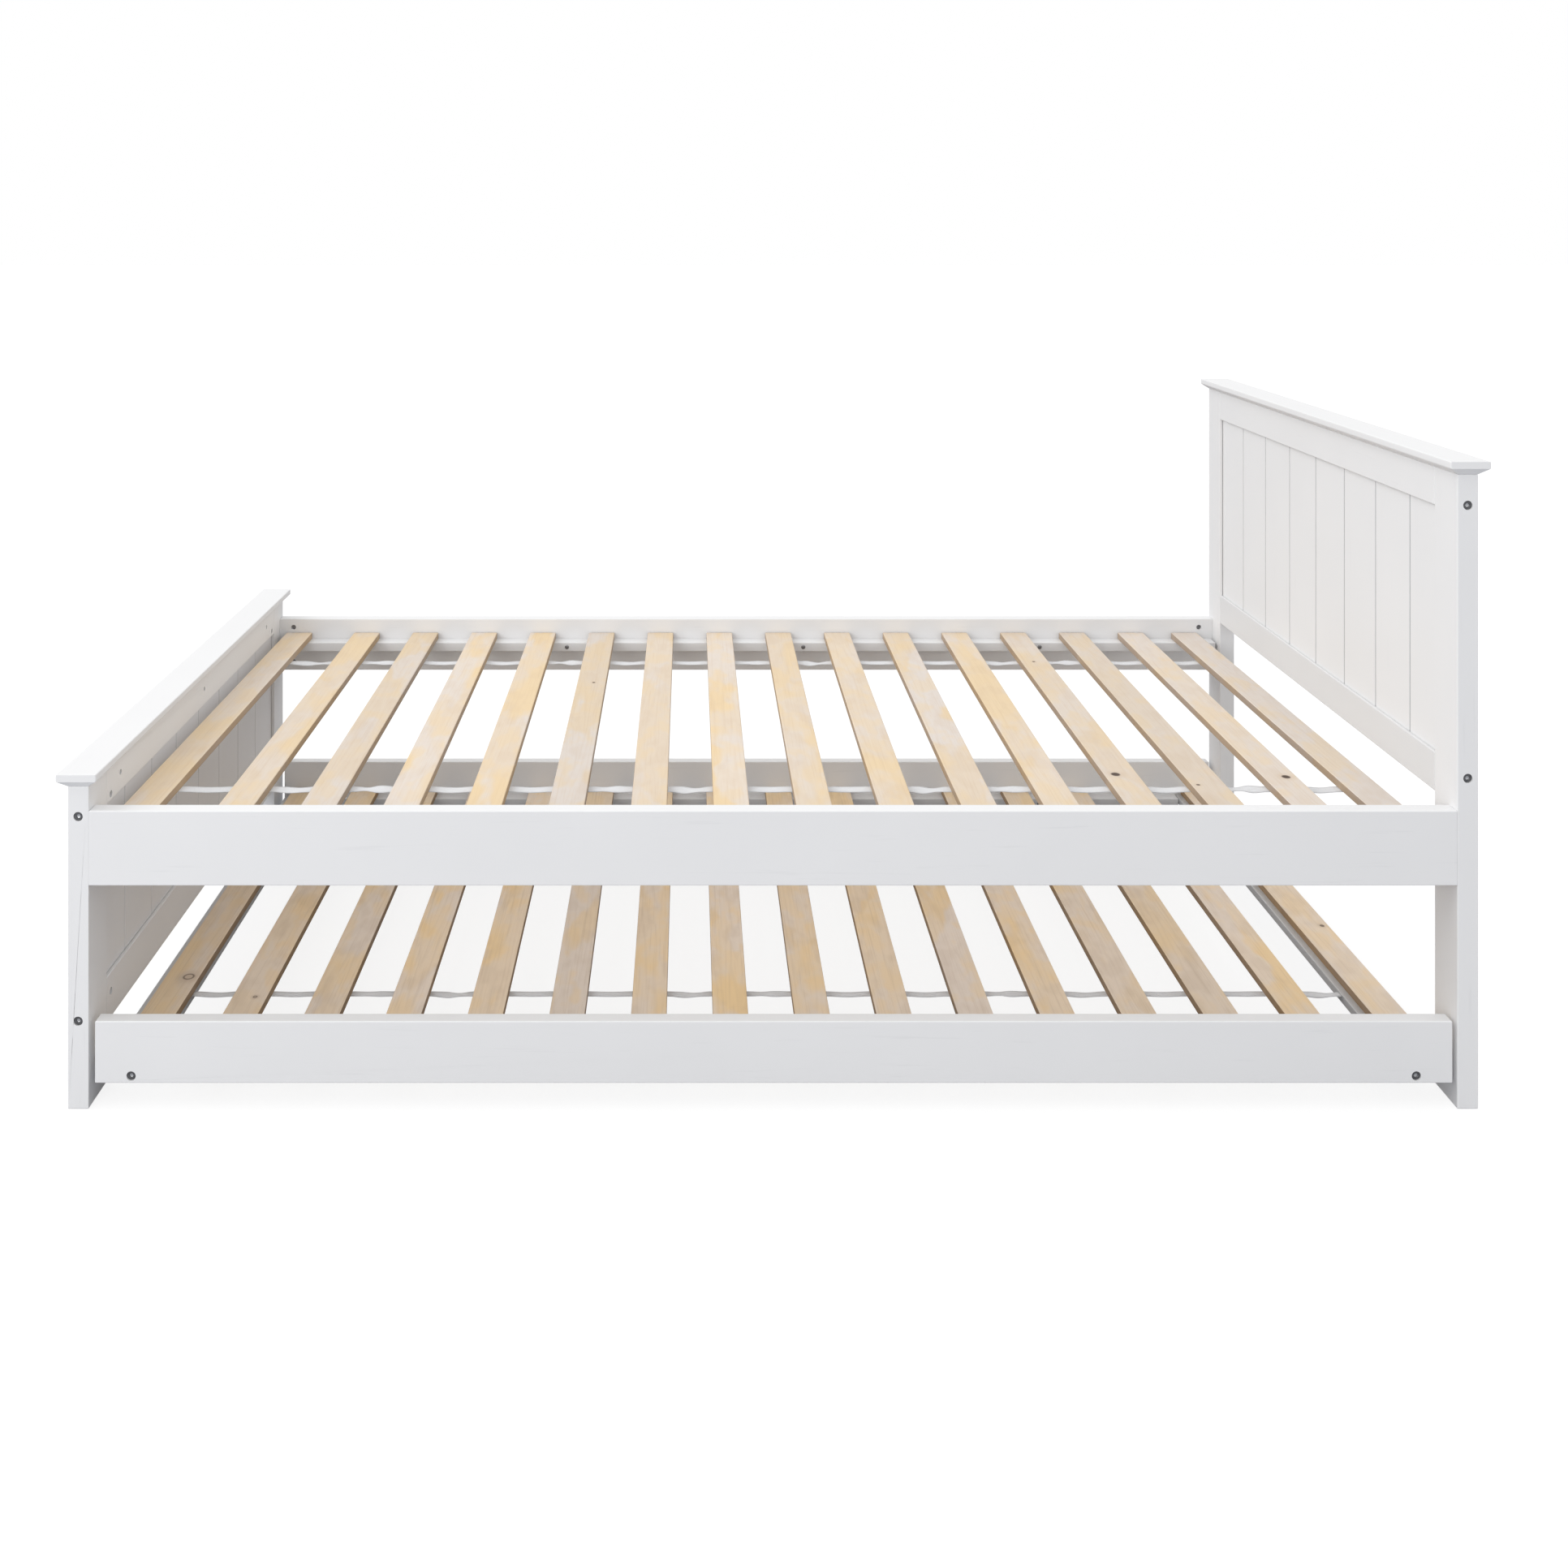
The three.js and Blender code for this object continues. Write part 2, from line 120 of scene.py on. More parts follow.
# Rounding of the wooden edges.
PAINTED_EDGE = 0.0015
SLAT_EDGE = 0.0015
PANEL_EDGE = 0.0005
SHORTEST_ROUNDED_EDGE = 0.005  # leaves the rims of the bores sharp
SHARP_ANGLE = math.radians(50)
EDGE_SEGMENTS = 3
WELD_DISTANCE = 0.00001

# Joints between the boards of a panel, and the posts' faces that it enters, as in the CAD model.
FIRST_BOARD_JOINT = -0.342
BOARD_PITCH = 0.110
# Width of the painted shade along each joint.
JOINT_SHADE_WIDTH = 0.004
POST_FACE_Y = 0.427

# Fasteners. Heights repeat those of the bores in the CAD model.
CONNECTOR_Z = {"head": (0.838, 0.459), "foot": (0.406, 0.122)}
SIDE_NUT_FROM_EDGE = 0.017
SIDE_NUT_FROM_END = 0.028
END_NUT_FROM_POST = 0.017
POCKET_FROM_POST = 0.053
POCKET_BELOW_CAP = 0.024
TRUNDLE_BOLT_FROM_END = 0.050
TRUNDLE_BOLT_Z = 0.046
BORE_DEPTH = 0.006
BOLT_HEAD_RADIUS = 0.0060
BOLT_HEAD_HEIGHT = 0.0046
BOLT_CHAMFER = 0.0006
BOLT_SOCKET_RADIUS = 0.0030
BOLT_SOCKET_DEPTH = 0.0018
BOLT_SOCKET_CHAMFER = 0.0003
NUT_RADIUS = 0.0047
NUT_LENGTH = 0.011
NUT_CHAMFER = 0.0005
NUT_DIMPLE_RADII = (0.0022, 0.0016)
NUT_DIMPLE_DEPTH = 0.0012
NUT_BORE_DEPTH = 0.015
POCKET_DEPTH = 0.012
SCREW_HEAD_RADIUS = 0.0042
SCREW_DOME = ((1.0, 0.0), (1.0, 0.0005), (0.86, 0.0013), (0.62, 0.0018))  # share of the radius, height
SCREW_RECESS = ((0.0019, 0.0019), (0.0013, 0.0004))  # from the middle to a corner, height
CASTOR_PLATE_THICKNESS = 0.002
CASTOR_SCREW_INSET = 0.006
LEDGER_SCREW_X = (-0.900, -0.363, 0.114, 0.591)
ROUND_SEGMENTS = 32
HEXAGON = 6
SQUARE = 4

# Webbing tapes under the slats.
SLAT_COUNT = 16
BED_TAPE_WIDTH = 0.020
TRUNDLE_TAPE_WIDTH = 0.013
TAPE_THICKNESS = 0.0009
TAPE_GAP = 0.0003  # below the slats
TAPE_SAG = 0.002
TAPE_TWIST = math.radians(15)
TAPE_STEP = 0.006
TAPE_CELLS_ACROSS = 4
BED_TAPE_Y = 0.310
TRUNDLE_TAPE_Y = 0.295
BED_TAPE_FROM_EDGE = 0.006  # from the outer edges of the first and the last slat
TRUNDLE_TAPE_FROM_MEMBER = 0.0005
TRUNDLE_TAPE_PHASE = 0.4  # sets its sags apart from those of the bed's tapes
WEFT_PITCH = 0.0016
WARP_PITCH = WEFT_PITCH / 1.4
STAPLE_CROWN = 0.009
STAPLE_WIRE = 0.0006
STAPLE_LENGTH = STAPLE_WIRE * 1.6
STAPLE_EDGE = STAPLE_WIRE * 0.3
STAPLE_FROM_EDGE = 0.012


# ---------------------------------------------------------------- node trees

class Shader:
    """A material with one Principled shader, and a short method for each kind of node that feeds it."""

    def __init__(self, name):
        self.material = bpy.data.materials.new(name)
        self.material.use_nodes = True
        self.tree = self.material.node_tree
        self.surface = self.tree.nodes["Principled BSDF"]

    def add(self, kind, inputs, **settings):
        node = self.tree.nodes.new(kind)
        for key, value in settings.items():
            setattr(node, key, value)
        for key, value in inputs.items():
            self.feed(node.inputs[key], value)
        return node

    def feed(self, socket, value):
        if isinstance(value, bpy.types.NodeSocket):
            self.tree.links.new(value, socket)
        else:
            socket.default_value = value

    def set(self, **inputs):
        for key, value in inputs.items():
            self.feed(self.surface.inputs[key.replace("_", " ")], value)

    def place(self):
        return self.add("ShaderNodeTexCoord", {}).outputs["Object"]

    def normal(self):
        return self.add("ShaderNodeTexCoord", {}).outputs["Normal"]

    def split(self, vector):
        return self.add("ShaderNodeSeparateXYZ", {0: vector}).outputs

    def join(self, x, y, z):
        return self.add("ShaderNodeCombineXYZ", {0: x, 1: y, 2: z}).outputs[0]

    def math(self, operation, a, b=0.0):
        return self.add("ShaderNodeMath", {0: a, 1: b}, operation=operation).outputs[0]

    def vector(self, operation, a, b):
        return self.add("ShaderNodeVectorMath", {0: a, 1: b}, operation=operation).outputs[0]

    def distance(self, a, b):
        return self.add("ShaderNodeVectorMath", {0: a, 1: b}, operation="DISTANCE").outputs["Value"]

    def noise(self, vector, scale, detail, stretch=None):
        """Noise of about scale features to the metre. A stretch below 1 draws it out along that axis."""
        if stretch:
            vector = self.vector("MULTIPLY", vector, stretch)
        inputs = {"Vector": vector, "Scale": scale, "Detail": detail, "Roughness": 0.55}
        return self.add("ShaderNodeTexNoise", inputs).outputs[0]

    def ramp(self, factor, low, high):
        """0 up to low, 1 from high on, smooth between. With low above high it falls from 1 to 0 instead."""
        inputs = {"Value": factor, "From Min": low, "From Max": high}
        return self.add("ShaderNodeMapRange", inputs, interpolation_type="SMOOTHSTEP").outputs[0]

    def between(self, factor, low, high):
        """Low where the factor is 0, high where it is 1."""
        inputs = {"Value": factor, "To Min": low, "To Max": high}
        return self.add("ShaderNodeMapRange", inputs).outputs[0]

    def mix(self, factor, a, b, blend="MIX"):
        inputs = {0: factor, 6: opaque(a), 7: opaque(b)}
        return self.add("ShaderNodeMix", inputs, data_type="RGBA", blend_type=blend).outputs[2]

    def tint(self, color, mask, share, other):
        """The color, with this share of the other one where the mask is 1."""
        return self.mix(self.math("MULTIPLY", mask, share), color, other)

    def bump(self, height, distance, strength):
        """Relief from a height of 0 to 1. Distance is its depth in metres."""
        inputs = {"Height": height, "Distance": distance, "Strength": strength}
        self.set(Normal=self.add("ShaderNodeBump", inputs).outputs[0])


def opaque(color):
    return (*color, 1.0) if isinstance(color, tuple) and len(color) == 3 else color


# ---------------------------------------------------------------- materials

def paint(name, grain_axis, shade=1.0, joints=0.0):
    """Satin white lacquer. The grain of the pine below still shows faintly along grain_axis.

    The last argument, from 0 to 1, is how dark the painted shade is in a panel's V grooves and along the edges
    where it enters the posts. The shade argument, below 1, grays the whole piece as painted shade.
    """
    shader = Shader(name)
    place = shader.place()
    stretch = tuple(PAINT_GRAIN_STRETCH if axis == grain_axis else 1.0 for axis in "xyz")
    grain = shader.noise(place, 160.0, 4.0, stretch)
    clouds = shader.noise(place, 5.0, 2.0)
    stipple = shader.noise(place, 900.0, 1.0)
    low, high, line = (tuple(shade * part for part in tone) for tone in (PAINT_LOW, PAINT_HIGH, PAINT_LINE))
    color = shader.mix(shader.ramp(grain, 0.62, 0.78), shader.mix(clouds, low, high), line)
    # Painted shade: the V grooves and the edges along the posts are grayed, as the shade in them would be.
    if joints:
        y = shader.split(place)[1]
        along = shader.math("SUBTRACT", y, FIRST_BOARD_JOINT)
        from_board = shader.math("PINGPONG", along, BOARD_PITCH / 2)
        from_post = shader.math("SUBTRACT", POST_FACE_Y, shader.math("ABSOLUTE", y))
        away = shader.math("MINIMUM", from_board, from_post)
        joint_shade_mask = shader.ramp(away, JOINT_SHADE_WIDTH / 2, JOINT_SHADE_WIDTH / 5)
        color = shader.tint(color, joint_shade_mask, joints, PAINTED_JOINT_SHADE)
    shader.set(Base_Color=color, Roughness=shader.between(clouds, 0.36, 0.52))
    height = shader.math("ADD", grain, shader.math("MULTIPLY", stipple, 0.35))
    shader.bump(height, 0.00012, 0.35)
    return shader.material


def slat_number(shader, x, prefix):
    """The number of the slat at x, for a look of its own."""
    (second_low, second_high), (third_low, _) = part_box(f"{prefix}_02"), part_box(f"{prefix}_03")
    middle = (second_low[0] + second_high[0]) / 2
    pitch = third_low[0] - second_low[0]
    return shader.math("ROUND", shader.math("DIVIDE", shader.math("SUBTRACT", x, middle), pitch))


def knot_mask(shader, place, knots):
    """1 in each knot and 0 away from it, and the zone round it. A knot is (x, y, radius, core darkness)."""
    mask, halo = 0.0, 0.0
    for x, y, size, core in knots:
        flat = shader.vector("MULTIPLY", place, (1.0, 1.0, 0.0))
        away = shader.distance(flat, (x, y, 0.0))
        spot = shader.ramp(away, size, size * 0.6)
        eye = shader.math("MULTIPLY", shader.ramp(away, size * 0.75, size * 0.45), 1.0 - core)
        mask = shader.math("MAXIMUM", mask, shader.math("SUBTRACT", spot, eye))
        halo = shader.math("MAXIMUM", halo, shader.ramp(away, size * 2.4, size * 0.8))
    return mask, halo


def pine(name, look, prefix, knots):
    """Bare sanded pine with its grain along Y. Each slat differs in tone, grain and stains."""
    shader = Shader(name)
    place = shader.place()
    x = shader.split(place)[0]
    number = slat_number(shader, x, prefix)
    dice = shader.add("ShaderNodeTexWhiteNoise", {"W": number}, noise_dimensions="1D")
    jump = shader.vector("MULTIPLY", dice.outputs["Color"], (GRAIN_JUMP, GRAIN_JUMP, GRAIN_JUMP))
    own = shader.vector("ADD", place, jump)

    growth = shader.noise(own, 16.0, 2.0, (1.0, 0.06, 1.0))
    rings = shader.math("SINE", shader.math("MULTIPLY", growth, RING_PHASE))
    fibres = shader.noise(own, 420.0, 3.0, (1.0, 0.02, 1.0))
    patches = shader.noise(own, 9.0, 4.0, (1.0, 0.4, 1.0))
    stains = shader.noise(own, 8.0, 3.0, (1.3, 0.45, 1.0))
    mottle = shader.noise(own, 26.0, 2.0, (1.0, 0.5, 1.0))
    shares = shader.split(dice.outputs["Color"])
    yellow = shader.math("MULTIPLY", shader.ramp(patches, 0.47, 0.58), shader.between(shares[0], 0.25, 1.0))
    bleached = shader.math("MULTIPLY", shader.ramp(stains, 0.48, 0.55), shader.between(shares[1], 0.3, 1.0))
    bleached = shader.math("MAXIMUM", bleached, shader.ramp(x, *look["bleached_x"]))

    color = shader.mix(yellow, look["pale"], look["yellow"])
    color = shader.mix(bleached, color, look["bleached"])
    color = shader.tint(color, shader.ramp(mottle, 0.48, 0.64), 0.40, look["yellow"])
    color = shader.tint(color, shader.ramp(mottle, 0.50, 0.34), 0.14, look["ring"])
    color = shader.tint(color, shader.ramp(rings, 0.1, 1.0), 0.07, look["ring"])
    color = shader.tint(color, shader.ramp(fibres, 0.52, 0.7), 0.16, look["ring"])
    tone = shader.between(dice.outputs["Value"], 0.94, 1.04)
    # Painted light: the first slat's tone is lifted against the shadow that the footboard casts on it.
    if "painted_light_x" in look:
        painted_light = shader.math("MULTIPLY", shader.ramp(x, *look["painted_light_x"]), FIRST_SLAT_PAINTED_LIGHT)
        tone = shader.math("ADD", tone, painted_light)
    color = shader.vector("MULTIPLY", color, shader.join(tone, tone, tone))

    knot, halo = knot_mask(shader, place, knots)
    color = shader.tint(color, halo, 0.3, look["ring"])
    color = shader.mix(knot, color, look["knot"])
    # Painted shade: upright side faces are darkened towards the side color, as shade would darken them.
    up = shader.math("ABSOLUTE", shader.split(shader.normal())[2])
    side = shader.ramp(up, 0.75, 0.25)
    color = shader.mix(side, color, look["side"], "MULTIPLY")

    shader.set(Base_Color=color, Roughness=shader.between(fibres, 0.52, 0.74))
    height = shader.math("ADD", fibres, shader.math("MULTIPLY", rings, 0.12))
    shader.bump(shader.math("SUBTRACT", height, shader.math("MULTIPLY", knot, 0.6)), 0.00022, 0.6)
    return shader.material


def steel(name, dark, light, roughness):
    """Plated or blackened steel, with the small scratches and spots of bulk hardware."""
    shader = Shader(name)
    place = shader.place()
    spots = shader.noise(place, 260.0, 4.0)
    scratches = shader.noise(place, 1500.0, 2.0, (1.0, 1.0, 0.08))
    low, high = roughness
    shader.set(
        Base_Color=shader.mix(spots, dark, light),
        Metallic=1.0,
        Roughness=shader.between(spots, low, high),
    )
    shader.bump(scratches, 0.00004, 0.4)
    return shader.material


def nylon(name):
    """Moulded black nylon, with a fine sparked texture."""
    shader = Shader(name)
    place = shader.place()
    grain = shader.noise(place, 1400.0, 2.0)
    wear = shader.noise(place, 90.0, 3.0)
    shader.set(
        Base_Color=shader.mix(shader.ramp(wear, 0.5, 0.7), (0.022, 0.022, 0.024), (0.045, 0.045, 0.048)),
        Roughness=shader.between(grain, 0.42, 0.62),
    )
    shader.bump(grain, 0.00005, 0.6)
    return shader.material


def webbing(name):
    """White woven tape, with a crossed weave of weft and warp."""
    shader = Shader(name)
    x, y, _ = shader.split(shader.place())
    weft = shader.math("SINE", shader.math("MULTIPLY", x, 2 * math.pi / WEFT_PITCH))
    warp = shader.math("SINE", shader.math("MULTIPLY", y, 2 * math.pi / WARP_PITCH))
    weave = shader.math("MULTIPLY", weft, warp)
    shader.set(
        Base_Color=shader.mix(shader.between(weave, 0.0, 1.0), (0.70, 0.71, 0.73), (0.84, 0.845, 0.855)),
        Roughness=0.85,
        Sheen_Weight=0.25,
    )
    shader.bump(weave, 0.0002, 0.6)
    return shader.material


PAINT_ALONG = {axis: paint(f"white_paint_grain_{axis}", axis) for axis in "xyz"}
# The panels' joints get painted shade, fuller on the head panel than on the foot panel.
HEAD_PANEL_PAINT = paint("white_paint_head_panel", "z", joints=1.0)
FOOT_PANEL_PAINT = paint("white_paint_foot_panel", "z", joints=0.3)
# Painted shade: the head's bottom rail and the trundle's cross members get grayer tones of the same white
# paint, which darken them beside their neighbours as shade would.
LOW_RAIL_SHADED_PAINT = paint("white_paint_low_rail_painted_shade", "y", shade=0.91)
CROSS_MEMBER_SHADED_PAINT = paint("white_paint_cross_member_painted_shade", "y", shade=0.72)
BED_SLAT_PINE = pine("bed_pine", BED_PINE, "bed_slat", BED_KNOTS)
TRUNDLE_SLAT_PINE = pine("trundle_pine", TRUNDLE_PINE, "trundle_slat", TRUNDLE_KNOTS)
ZINC = steel("zinc_steel", (0.52, 0.53, 0.54), (0.72, 0.73, 0.74), (0.28, 0.46))
BLACK_STEEL = steel("dark_steel", (0.10, 0.10, 0.104), (0.25, 0.25, 0.255), (0.34, 0.50))
DULL_ZINC = steel("dull_zinc_steel", (0.18, 0.18, 0.185), (0.38, 0.38, 0.39), (0.40, 0.55))
NYLON = nylon("wheel_nylon")
WEBBING = webbing("webbing")


# ---------------------------------------------------------------- CAD nodes

def edge_math(tree, operation, a, b):
    """A math node between a, a socket, and b, a socket or a number."""
    node = tree.nodes.new("ShaderNodeMath")
    node.operation = operation
    tree.links.new(a, node.inputs[0])
    if isinstance(b, bpy.types.NodeSocket):
        tree.links.new(b, node.inputs[1])
    else:
        node.inputs[1].default_value = b
    return node.outputs[0]


def edge_marker():
    """Geometry nodes that shade every face flat and weight the long outward edges for rounding."""
    tree = bpy.data.node_groups.new("mark_edges", "GeometryNodeTree")
    tree.interface.new_socket("Geometry", in_out="INPUT", socket_type="NodeSocketGeometry")
    tree.interface.new_socket("Geometry", in_out="OUTPUT", socket_type="NodeSocketGeometry")
    start = tree.nodes.new("NodeGroupInput")
    end = tree.nodes.new("NodeGroupOutput")
    angle = tree.nodes.new("GeometryNodeInputMeshEdgeAngle")
    ends = tree.nodes.new("GeometryNodeInputMeshEdgeVertices")
    length = tree.nodes.new("ShaderNodeVectorMath")
    length.operation = "DISTANCE"
    tree.links.new(ends.outputs["Position 1"], length.inputs[0])
    tree.links.new(ends.outputs["Position 2"], length.inputs[1])
    outward = edge_math(tree, "GREATER_THAN", angle.outputs["Signed Angle"], SHARP_ANGLE)
    long = edge_math(tree, "GREATER_THAN", length.outputs["Value"], SHORTEST_ROUNDED_EDGE)
    rounded = edge_math(tree, "MULTIPLY", outward, long)
    flat = tree.nodes.new("GeometryNodeSetShadeSmooth")
    flat.inputs["Shade Smooth"].default_value = False
    tree.links.new(start.outputs[0], flat.inputs["Geometry"])
    store = tree.nodes.new("GeometryNodeStoreNamedAttribute")
    store.data_type = "FLOAT"
    store.domain = "EDGE"
    store.inputs["Name"].default_value = "bevel_weight_edge"
    tree.links.new(flat.outputs[0], store.inputs["Geometry"])
    tree.links.new(rounded, store.inputs["Value"])
    tree.links.new(store.outputs[0], end.inputs[0])
    return tree


EDGE_MARKER = edge_marker()


def round_edges(node, radius):
    """Joins the node's split vertices and rounds its long edges."""
    weld = node.modifiers.new("weld", "WELD")
    weld.merge_threshold = WELD_DISTANCE
    mark = node.modifiers.new("mark", "NODES")
    mark.node_group = EDGE_MARKER
    bevel = node.modifiers.new("bevel", "BEVEL")
    bevel.width = radius
    bevel.segments = EDGE_SEGMENTS
    bevel.limit_method = "WEIGHT"
    bevel.use_clamp_overlap = False


def finish_nodes():
    """Gives every CAD node its material and its rounded edges."""
    for name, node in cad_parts.items():
        material, radius = node_look(name)
        node.data.materials.clear()
        node.data.materials.append(material)
        if radius:
            round_edges(node, radius)


def node_look(name):
    """The material and the edge radius of the CAD node of this name."""
    if name.startswith("bed_slat"):
        return BED_SLAT_PINE, SLAT_EDGE
    if name.startswith("trundle_slat"):
        return TRUNDLE_SLAT_PINE, SLAT_EDGE
    if name.startswith("castor_bracket"):
        return ZINC, 0
    if name.startswith("castor_wheel"):
        return NYLON, 0
    if name == "head_panel":
        return HEAD_PANEL_PAINT, PANEL_EDGE
    if name == "foot_panel":
        return FOOT_PANEL_PAINT, PANEL_EDGE
    # These two kinds of piece carry painted shade.
    if name == "head_bottom_rail":
        return LOW_RAIL_SHADED_PAINT, PAINTED_EDGE
    if name.startswith("trundle_cross_member"):
        return CROSS_MEMBER_SHADED_PAINT, PAINTED_EDGE
    if "post" in name:
        return PAINT_ALONG["z"], PAINTED_EDGE
    if name.startswith(("side_rail", "slat_ledger", "trundle_rail")):
        return PAINT_ALONG["x"], PAINTED_EDGE
    return PAINT_ALONG["y"], PAINTED_EDGE


# ---------------------------------------------------------------- new pieces

def add_object(name, data):
    """A mesh, a light or a camera, as an object of the scene."""
    made = bpy.data.objects.new(name, data)
    bpy.context.scene.collection.objects.link(made)
    return made


def add_piece(name, mesh, body, place=Matrix()):
    """A new object that rides on a body. Place is its matrix in the shared frame."""
    piece = add_object(name, mesh)
    piece.matrix_world = place
    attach(piece, body)
    return piece


def to_mesh_data(name, mesh, *materials):
    """The finished mesh, with its materials in the order of its faces' material numbers."""
    data = bpy.data.meshes.new(name)
    mesh.to_mesh(data)
    mesh.free()
    for material in materials:
        data.materials.append(material)
    return data


# ---------------------------------------------------------------- fasteners

def put(name, mesh, place, facing, body):
    """A copy of mesh, which is made about +Z, at place with its +Z turned to facing."""
    turn = Vector((0, 0, 1)).rotation_difference(Vector(facing)).to_matrix().to_4x4()
    add_piece(name, mesh, body, Matrix.Translation(place) @ turn)


def ring(mesh, radius, z, sides=ROUND_SEGMENTS):
    """Vertices round +Z. With fewer sides than segments they lie on a polygon with its corners at radius."""
    verts = []
    for i in range(ROUND_SEGMENTS):
        turn = 2 * math.pi * i / ROUND_SEGMENTS
        reach = radius
        if sides < ROUND_SEGMENTS:
            part = math.pi / sides
            reach = radius * math.cos(part) / math.cos((turn % (2 * part)) - part)
        verts.append(mesh.verts.new((reach * math.cos(turn), reach * math.sin(turn), z)))
    return verts


def turned(name, levels, *materials):
    """A closed body through rings, from its bottom outside to the bottom of its recess.

    A ring is (radius, z) if it is round, or else (radius, z, sides). A second material is for the last band
    and the bottom of the recess.
    """
    mesh = bmesh.new()
    rings = [ring(mesh, *level) for level in levels]
    for low, high in zip(rings, rings[1:]):
        for i in range(ROUND_SEGMENTS):
            j = (i + 1) % ROUND_SEGMENTS
            mesh.faces.new((low[i], low[j], high[j], high[i]))
    mesh.faces.new(list(reversed(rings[0])))
    mesh.faces.new(rings[-1])
    if len(materials) > 1:
        mesh.faces.ensure_lookup_table()
        for face in mesh.faces[-ROUND_SEGMENTS - 2:-2]:
            face.material_index = 1
        mesh.faces[-1].material_index = 1
    bmesh.ops.recalc_face_normals(mesh, faces=mesh.faces)
    return to_mesh_data(name, mesh, *materials)


def bolt_mesh():
    """The black head of a connector bolt, which also paints the shade in the bore round it. The bright metal
    at the bottom of its hexagon socket is a painted highlight.
    """
    radius, top = BOLT_HEAD_RADIUS, BOLT_HEAD_HEIGHT
    bottom = top - BOLT_SOCKET_DEPTH
    return turned("connector_bolt", (
        (radius, 0.0),
        (radius, top - BOLT_CHAMFER),
        (radius - BOLT_CHAMFER, top),
        (BOLT_SOCKET_RADIUS + BOLT_SOCKET_CHAMFER, top, HEXAGON),
        (BOLT_SOCKET_RADIUS, top - BOLT_SOCKET_CHAMFER, HEXAGON),
        (BOLT_SOCKET_RADIUS, bottom, HEXAGON),
        (BOLT_SOCKET_RADIUS / 2, bottom - BOLT_SOCKET_CHAMFER),
    ), BLACK_STEEL, ZINC)


def nut_mesh():
    """The end of a barrel nut, with a turned edge and a centre dimple."""
    rim, bottom = NUT_DIMPLE_RADII
    return turned("barrel_nut", (
        (NUT_RADIUS, 0.0),
        (NUT_RADIUS, NUT_LENGTH - NUT_CHAMFER),
        (NUT_RADIUS - NUT_CHAMFER, NUT_LENGTH),
        (rim, NUT_LENGTH),
        (bottom, NUT_LENGTH - NUT_DIMPLE_DEPTH),
    ), DULL_ZINC)


def screw_mesh():
    """The domed head of a wood screw with a square recess."""
    dome = [(SCREW_HEAD_RADIUS * share, z) for share, z in SCREW_DOME]
    recess = [(reach, z, SQUARE) for reach, z in SCREW_RECESS]
    return turned("wood_screw", dome + recess, DULL_ZINC)


def add_post_bolts(bolt):
    for end, heights in CONNECTOR_Z.items():
        for place, row in SIDES:
            low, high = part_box(f"{end}_post_{place}")
            middle_x = (low[0] + high[0]) / 2
            outer_y = low[1] if row < 0 else high[1]
            for level, z in zip(("upper", "lower"), heights):
                floor = (middle_x, outer_y - row * BORE_DEPTH, z)
                put(f"bolt_{end}_{place}_{level}", bolt, floor, (0, row, 0), "bed_frame")


def side_nut_heights():
    low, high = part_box("side_rail_front")
    return (high[2] - SIDE_NUT_FROM_EDGE, low[2] + SIDE_NUT_FROM_EDGE)


def add_side_rail_hardware(bolt, nut):
    for place, row in SIDES:
        low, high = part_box(f"side_rail_{place}")
        middle_y = (low[1] + high[1]) / 2
        inner_y = high[1] if row < 0 else low[1]
        for end, side in ENDS:
            post_low, post_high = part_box(f"{end}_post_{place}")
            outer_x = post_high[0] if side > 0 else post_low[0]
            nut_x = side * (high[0] - SIDE_NUT_FROM_END)
            for level, z in zip(("upper", "lower"), side_nut_heights()):
                bolt_floor = (outer_x - side * BORE_DEPTH, middle_y, z)
                nut_floor = (nut_x, inner_y + row * NUT_BORE_DEPTH, z)
                name = f"{end}_{place}_{level}"
                put(f"side_bolt_{name}", bolt, bolt_floor, (side, 0, 0), "bed_frame")
                put(f"side_nut_{name}", nut, nut_floor, (0, -row, 0), "bed_frame")


def add_end_rail_hardware(nut, screw):
    """Barrel nuts and cap screws enter the faces that look along +X."""
    for end, heights in CONNECTOR_Z.items():
        low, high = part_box(f"{end}_top_rail")
        for place, row in SIDES:
            y = row * (high[1] - END_NUT_FROM_POST)
            for level, z in zip(("upper", "lower"), heights):
                floor = (high[0] - NUT_BORE_DEPTH, y, z)
                put(f"end_nut_{end}_{place}_{level}", nut, floor, (1, 0, 0), "bed_frame")
        for place, row in THREE_ROWS:
            y = row * (high[1] - POCKET_FROM_POST)
            floor = (high[0] - POCKET_DEPTH, y, high[2] - POCKET_BELOW_CAP)
            put(f"cap_screw_{end}_{place}", screw, floor, (1, 0, 0), "bed_frame")


def add_trundle_hardware(bolt, screw):
    for place, row in SIDES:
        low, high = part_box(f"trundle_rail_{place}")
        outer_y = low[1] if row < 0 else high[1]
        for end, x in (("head", high[0] - TRUNDLE_BOLT_FROM_END), ("foot", low[0] + TRUNDLE_BOLT_FROM_END)):
            floor = (x, outer_y - row * BORE_DEPTH, TRUNDLE_BOLT_Z)
            put(f"trundle_bolt_{end}_{place}", bolt, floor, (0, row, 0), "trundle")
        ledger_y = high[1] if row < 0 else low[1]
        for i, x in enumerate(LEDGER_SCREW_X):
            on_face = (x, ledger_y, TRUNDLE_BOLT_Z)
            name = f"trundle_ledger_screw_{place}_{i + 1}"
            put(name, screw, on_face, (0, -row, 0), "trundle")


def add_ledger_screws(screw):
    for place, row in SIDES:
        low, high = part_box(f"slat_ledger_{place}")
        inner_y = high[1] if row < 0 else low[1]
        middle_z = (low[2] + high[2]) / 2
        for i, x in enumerate(LEDGER_SCREW_X):
            on_face = (x, inner_y, middle_z)
            put(f"ledger_screw_{place}_{i + 1}", screw, on_face, (0, -row, 0), "bed_frame")


